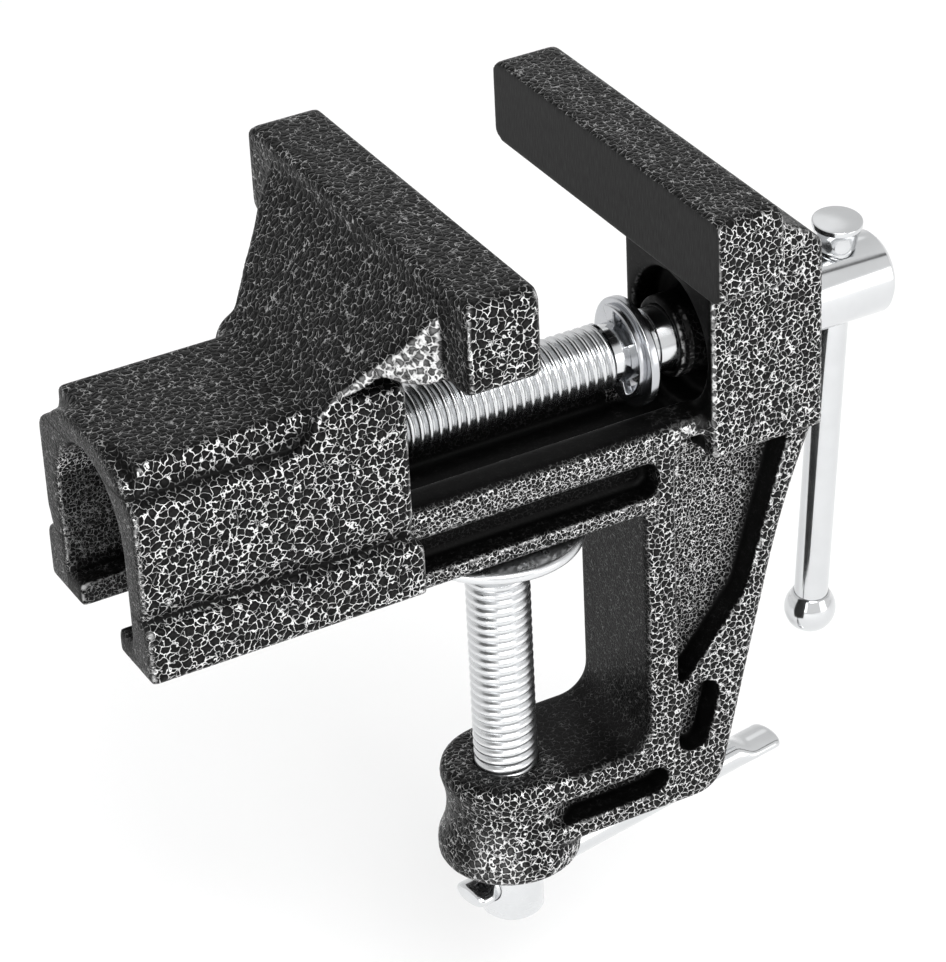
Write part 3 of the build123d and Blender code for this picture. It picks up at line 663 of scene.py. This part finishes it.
def to_axis(piece, origin, direction, sideways=(0, 1, 0)):
    """Moves a mesh that was made along Z on to another axis, with its own Y turned sideways."""
    z = Vector(direction).normalized()
    x = Vector(sideways).cross(z).normalized()
    turn = Matrix((x, z.cross(x), z)).transposed().to_4x4()
    piece.data.transform(Matrix.Translation(Vector(origin)) @ turn)


# %% [markdown]
# ## The threads
# A rolled M10 thread rises 1.5 mm in a turn. Rings stacked on a rod would look much the same, but
# a real thread climbs, and it moves like one when the screw turns. So the outline of one pitch is
# wound round the axis by a Screw modifier that also lifts it. Both ends are then cut flat by a
# bisect that fills the cut. The thread of the clamp screw is worn, so it is less deep.

# %% Threaded rods
PITCH, THREAD_STEPS = 1.5, 40  # mm, and steps in a turn
PAD_GAP = 0.1  # mm, from the clamp screw's thread to its pad
MAIN_RADIUS, MAIN_DEPTH, WORN_DEPTH = 5.0, 0.75, 0.42  # mm
NECK_START, FOOT_TOP = -1.2, -58.0  # mm, where the plain ends of the two screws begin
THREAD_PROFILE = (  # (share of the pitch, share of the depth), from root to root
    (0.00, 0.00), (0.06, 0.03), (0.14, 0.20), (0.26, 0.62), (0.36, 0.86), (0.46, 0.97),
    (0.54, 1.00), (0.62, 0.97), (0.72, 0.86), (0.82, 0.62), (0.93, 0.20), (1.00, 0.00),
)


def threaded_rod(name, radius, depth, start, end):
    """A rod with a right-hand thread along Z, from start to end in mm."""
    first = start - 2 * PITCH  # the winding begins and ends outside the rod, and is cut
    rod = draw_line(name, [
        (radius - depth * (1 - high), first + along * PITCH) for along, high in THREAD_PROFILE
    ])
    turns = math.ceil((end - start) / PITCH) + 3
    apply(rod, "SCREW", axis="Z", angle=math.tau, screw_offset=PITCH * MM, iterations=turns,
          steps=THREAD_STEPS, render_steps=THREAD_STEPS, use_normal_calculate=True,
          use_merge_vertices=True, merge_threshold=WELD / 2)
    weld(rod)
    cut(rod, (0, 0, end * MM), (0, 0, 1))
    cut(rod, (0, 0, start * MM), (0, 0, -1))
    face_outwards(rod)
    return rod


main_thread = threaded_rod(
    "main_screw_thread", MAIN_RADIUS, MAIN_DEPTH, screw_low.x / MM, NECK_START)
to_axis(main_thread, (0, 0, SCREW_Z), (1, 0, 0))
finish_piece(main_thread, screw_zinc, "screw")

CLAMP_RADIUS = (clamp_high.x - clamp_low.x) / 2 / MM
clamp_thread = threaded_rod(
    "clamp_screw_thread", CLAMP_RADIUS, WORN_DEPTH, FOOT_TOP, pad_low.z / MM - PAD_GAP)
to_axis(clamp_thread, (CLAMP_X, 0, 0), (0, 0, 1))
finish_piece(clamp_thread, clamp_zinc, "clamp")

# %% [markdown]
# ## The plain ends of the screws
# The head of the main screw and the foot of the clamp screw are turned, and have a cross hole for
# their bars. They could be turned again here and drilled, but their shape in the solids is right.
# So a welded copy is cut off where the thread begins, and a Bevel modifier breaks its edges.

# %% Plain ends
OVERLAP, EDGE_ROUND, CLIP_ROUND = 0.02, 0.18, 0.12  # mm


def soften(piece, width):
    """Rounds every sharp edge by this width in mm."""
    apply(piece, "BEVEL", width=width * MM, segments=3, limit_method="ANGLE",
          angle_limit=math.radians(35), use_clamp_overlap=True)


head = copy_of("main_screw", "main_screw_head")
cut(head, ((NECK_START - OVERLAP) * MM, 0, 0), (-1, 0, 0))
soften(head, EDGE_ROUND)
finish_piece(head, bar_nickel, "screw", "main_screw")

foot = copy_of("clamp_screw", "clamp_screw_foot")
cut(foot, (0, 0, (FOOT_TOP + OVERLAP) * MM), (0, 0, 1))
soften(foot, EDGE_ROUND)
finish_piece(foot, clamp_zinc, "clamp", "clamp_screw")

# %% [markdown]
# ## Turned pieces
# A Screw modifier with no rise turns an outline into a closed piece, as a lathe does. A Spin in
# edit mode would do the same, but its seam has to be merged by hand. Round corners are arcs of the
# outline, which costs fewer faces than a bevel afterwards.

# %% Turned pieces
def arc(r, z, radius, start, end, steps):
    """Points of an arc round (r, z), from one angle to another in degrees."""
    angles = [math.radians(start + (end - start) * i / steps) for i in range(steps + 1)]
    return [(r + radius * math.cos(a), z + radius * math.sin(a)) for a in angles]


def turned(name, points, steps=72):
    """A closed piece, turned about Z from a line of points."""
    piece = draw_line(name, points)
    apply(piece, "SCREW", axis="Z", angle=math.tau, steps=steps, render_steps=steps,
          use_merge_vertices=True, merge_threshold=WELD / 2)
    weld(piece)
    face_outwards(piece)
    return piece


# %% [markdown]
# ## The handle's knobs
# Both are turned and pressed on to the rod's ends: a low button above, which draws in towards the
# screw, and a ball below with a small collar round the rod. A ball could start as a sphere and be
# joined to its collar, but on a lathe each is one outline, and so it is here. Heights run along
# the handle, from the screw's axis.

# %% Knobs
LEAN = math.radians(5.65)
HANDLE = Vector((0, -math.sin(LEAN), math.cos(LEAN)))
rod_low, rod_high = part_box("handle_rod")
handle_origin = ((rod_low.x + rod_high.x) / 2, 0, SCREW_Z)
BORE, BORE_DEPTH = 1.82, 3.0  # mm, round the rod's turned ends

UNDER, OVER, BUTTON = 6.5, 11.1, 3.85  # lowest and highest point and radius, mm
BUTTON_NECK = (  # (radius, height above its lowest point), mm
    (2.75, 0), (3.0, 0.15), (3.12, 0.6), (3.18, 1.3), (3.3, 2.2), (3.55, 3.0),
)
button = turned("handle_button", [
    (0, UNDER + BORE_DEPTH), (BORE, UNDER + BORE_DEPTH), (BORE, UNDER),
    *[(r, UNDER + height) for r, height in BUTTON_NECK],
    *arc(BUTTON - 0.3, OVER - 0.75, 0.3, -45, 0, 3),
    *arc(BUTTON - 0.25, OVER - 0.25, 0.25, 0, 90, 5), (0, OVER),
])
to_axis(button, handle_origin, HANDLE)
finish_piece(button, bar_nickel, "handle", "handle_knob_upper")

BALL, BALL_CENTRE, BALL_TOP = 4.1, -61.8, -58.85  # radius, centre and highest point, mm
BALL_COLLAR = (  # (radius, height above the ball's highest point), mm
    (2.72, 0.05), (2.74, 0.22), (2.86, 0.18), (2.96, 0.08), (3.08, -0.05),
)
ball = turned("handle_ball", [
    (0, BALL_TOP - BORE_DEPTH), (BORE, BALL_TOP - BORE_DEPTH), (BORE, BALL_TOP),
    *[(r, BALL_TOP + height) for r, height in BALL_COLLAR],
    *arc(0, BALL_CENTRE, BALL, 39, -86, 26), (0, BALL_CENTRE - BALL),
])
to_axis(ball, handle_origin, HANDLE)
finish_piece(ball, bar_nickel, "handle", "handle_knob_lower")

# %% [markdown]
# ## The clamp pad
# The pad is a thick washer with a round rim and a shallow dish on top, where the screw's tip is
# riveted over. A cylinder with bevelled edges would need the dish and the bore cut into it, so
# this too is turned from its outline.

# %% Pad
PAD_TOP, PAD_FOOT, PAD_RADIUS = pad_high.z / MM, pad_low.z / MM, (pad_high.x - pad_low.x) / 2 / MM
PAD_BORE, DISH, DISH_DEPTH, RIM = 2.95, 4.3, 1.0, 0.8  # mm
pad = turned("clamp_pad_disc", [
    (PAD_BORE, PAD_TOP - DISH_DEPTH), (PAD_BORE, PAD_FOOT), (PAD_RADIUS - RIM, PAD_FOOT),
    *arc(PAD_RADIUS - RIM, PAD_FOOT + RIM, RIM, -80, 0, 6),
    *arc(PAD_RADIUS - RIM, PAD_TOP - RIM, RIM, 0, 80, 6), (PAD_RADIUS - RIM, PAD_TOP),
    (DISH, PAD_TOP), (DISH, PAD_TOP - DISH_DEPTH), (PAD_BORE, PAD_TOP - DISH_DEPTH),
], steps=120)
to_axis(pad, (CLAMP_X, 0, 0), (0, 0, 1))
finish_piece(pad, clamp_zinc, "pad", "clamp_pad")

# %% [markdown]
# ## The clamp bar
# The bar is a round rod that a press has flattened at both ends, so that it can't slide out of the
# screw's foot. Two flat plates joined to a rod would show a step. So a turned rod gets more rings
# of corners near its ends, and each end is scaled with proportional editing, which runs the round
# part smoothly into the flat one.

# %% Bar
BAR_NEAR, BAR_FAR, BAR_RADIUS, BAR_ROUND = -8.7, 54.4, 2.5, 0.9  # mm
BAR_TURN = math.radians(10.5)
NEAR_FLAT, FAR_FLAT = -6.2 * MM, 49.0 * MM  # places along the bar where its flats begin
NEAR_BLEND, FAR_BLEND = 1.3 * MM, 3.0 * MM  # over which the round part turns flat
FLATTENING = (0.6, 1.32, 1)  # thinner, wider and as long
# Each ring of corners is a place along the bar, in mm, where it can bend from round to flat.
near_rings = [-7.4 + 0.4 * i for i in range(12)]
far_rings = [44 + 0.5 * i for i in range(19)]
bar = turned("clamp_bar_flattened", [
    (0, BAR_NEAR), *arc(BAR_RADIUS - BAR_ROUND, BAR_NEAR + BAR_ROUND, BAR_ROUND, -90, 0, 5),
    *[(BAR_RADIUS, z) for z in (*near_rings, 0, 20, 42, *far_rings)],
    *arc(BAR_RADIUS - BAR_ROUND, BAR_FAR - BAR_ROUND, BAR_ROUND, 0, 90, 5), (0, BAR_FAR),
], steps=48)
flats = ((lambda co: co.z < NEAR_FLAT, NEAR_BLEND), (lambda co: co.z > FAR_FLAT, FAR_BLEND))
for is_flat, reach in flats:
    pick(bar, is_flat)
    bpy.ops.transform.resize(value=FLATTENING, use_proportional_edit=True,
                             proportional_edit_falloff="SMOOTH", proportional_size=reach,
                             use_proportional_connected=False)
    close_edit()
bar_low, bar_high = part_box("clamp_bar")
to_axis(bar, (CLAMP_X, 0, (bar_low.z + bar_high.z) / 2),
        (math.cos(BAR_TURN), math.sin(BAR_TURN), 0), (-math.sin(BAR_TURN), math.cos(BAR_TURN), 0))
finish_piece(bar, bar_nickel, "bar", "clamp_bar")

# %% [markdown]
# ## Washer, clip and rod
# The thrust washer is turned with rounded rims. The clip is stamped from spring steel: its solid
# has the right shape, so a copy with softened edges is enough. The handle's rod is a plain round
# bar and needs no new mesh, only a better material.

# %% Washer, clip and rod
washer_low, washer_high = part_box("thrust_washer")
WASHER_RADIUS = (washer_high.z - washer_low.z) / 2 / MM
WASHER_THICK = (washer_high.x - washer_low.x) / MM
WASHER_BORE, WASHER_RIM = 5.1, 0.3  # mm
washer = turned("thrust_washer_ring", [
    (WASHER_BORE, WASHER_THICK), (WASHER_BORE, 0),
    *arc(WASHER_RADIUS - WASHER_RIM, WASHER_RIM, WASHER_RIM, -90, 0, 4),
    *arc(WASHER_RADIUS - WASHER_RIM, WASHER_THICK - WASHER_RIM, WASHER_RIM, 0, 90, 4),
    (WASHER_BORE, WASHER_THICK),
], steps=96)
to_axis(washer, (washer_low.x, 0, (washer_low.z + washer_high.z) / 2), (1, 0, 0))
finish_piece(washer, spring_steel, "screw", "thrust_washer")

clip = copy_of("retaining_clip", "retaining_clip_edged")
soften(clip, CLIP_ROUND)
finish_piece(clip, spring_steel, "screw", "retaining_clip")

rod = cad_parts["handle_rod"]
rod.data.materials.clear()
rod.data.materials.append(bar_nickel)

# %% [markdown]
# ## The floor
# A pale floor lies under the vise, low enough for the clamp screw when it is screwed right down.
# More light would make it white, but it would wash out the vise too. So the floor glows a little,
# only for rays that come from the camera or from metal, and it still takes the vise's shadow.

# %% Floor
CLAMP_TRAVEL = 39 * MM
FLOOR_TONE, FLOOR_GLOW = 0.87, 0.11
bpy.ops.mesh.primitive_plane_add(size=16, location=(0, 0, cad_low.z - CLAMP_TRAVEL - MM))
floor = bpy.context.object
floor.name = "floor"
floor_paint, floor_shader, _, _ = new_material("floor_paint")
rays = [Shade(floor_paint.node_tree).add("ShaderNodeLightPath", out=f"Is {kind} Ray")
        for kind in ("Camera", "Glossy", "Transmission")]
glow = grey(either(*rays) * FLOOR_GLOW)
drive(floor_shader, Base_Color=(FLOOR_TONE, FLOOR_TONE, FLOOR_TONE, 1), Roughness=0.9,
      Specular_IOR_Level=0.1, Emission_Color=glow, Emission_Strength=1.0)
floor.data.materials.append(floor_paint)
print("the floor lies at", round(floor.location.z / MM, 1), "mm")

# %% [markdown]
# ## The room
# Polished metal shows its room more than its lamps. A room of white card could be built round the
# vise, but the world's own colour does the same and throws no shadow. It is white up to a little
# above the horizon and dimmer towards the ceiling behind, so that upright metal is bright and what
# faces up is not. A thin dark gap in the ceiling draws the fine lines on the round pieces, and a
# small bright panel is mirrored in the button's flat top.

# %% Room
WALLS, CEILING, CEILING_RISE, PANEL = 0.95, 0.80, 0.14, 0.35  # tones, and what the last two add
GAP_DEPTH = 0.85  # share of the ceiling's tone that the gap takes away
world = bpy.data.worlds.new("studio")
bpy.context.scene.world = world
world.use_nodes = True
direction = Shade(world.node_tree).add("ShaderNodeTexCoord", out="Generated")


def along(axis):
    """How far the direction points along this axis, from -1 to 1."""
    settings, inputs = {"operation": "DOT_PRODUCT"}, {0: direction, 1: axis}
    return direction.add("ShaderNodeVectorMath", settings, inputs, "Value")


ceiling = CEILING + CEILING_RISE * soft_step(along((0.30, -0.93, 0.2)), -0.3, 0.8)
high_up = soft_step(along((0, 0, 1)), 0.12, 0.42)
gap = soft_step(abs(along((0, 0.891, 0.454))), 0.07, 0.04) * high_up
panel = soft_step(along((0.39, 0.64, 0.66)), 0.988, 0.994)
room = blend(high_up, WALLS, ceiling) * (1 - GAP_DEPTH * gap) + PANEL * panel
background = world.node_tree.nodes["Background"]
world.node_tree.links.new(grey(room).socket, background.inputs["Color"])
print("the room has", len(world.node_tree.nodes), "nodes")


# %% [markdown]
# ## The lamps
# The paint needs soft light from the near side, where the photograph is brightest. A sun would
# throw hard shadows into the pockets, so three large square lamps stand round the vise, and the
# strongest is high up at the front.

# %% Lamps
def soft_box(name, direction, distance, size, power):
    """A square lamp that looks at the origin, in metres and watts."""
    lamp = bpy.data.lights.new(name, "AREA")
    lamp.size = size
    lamp.energy = power
    holder = bpy.data.objects.new(name, lamp)
    bpy.context.scene.collection.objects.link(holder)
    toward = Vector(direction).normalized()
    holder.location = toward * distance
    holder.rotation_euler = toward.to_track_quat("Z", "Y").to_euler()
    print("lamp", name, "gives", power, "W")


soft_box("key", (-0.1, -0.65, 0.75), distance=0.9, size=0.5, power=5)
soft_box("side", (-0.85, -0.5, 0.25), distance=0.8, size=0.35, power=1.6)
soft_box("fill", (0.5, -0.8, 0.1), distance=1.0, size=0.5, power=1.5)
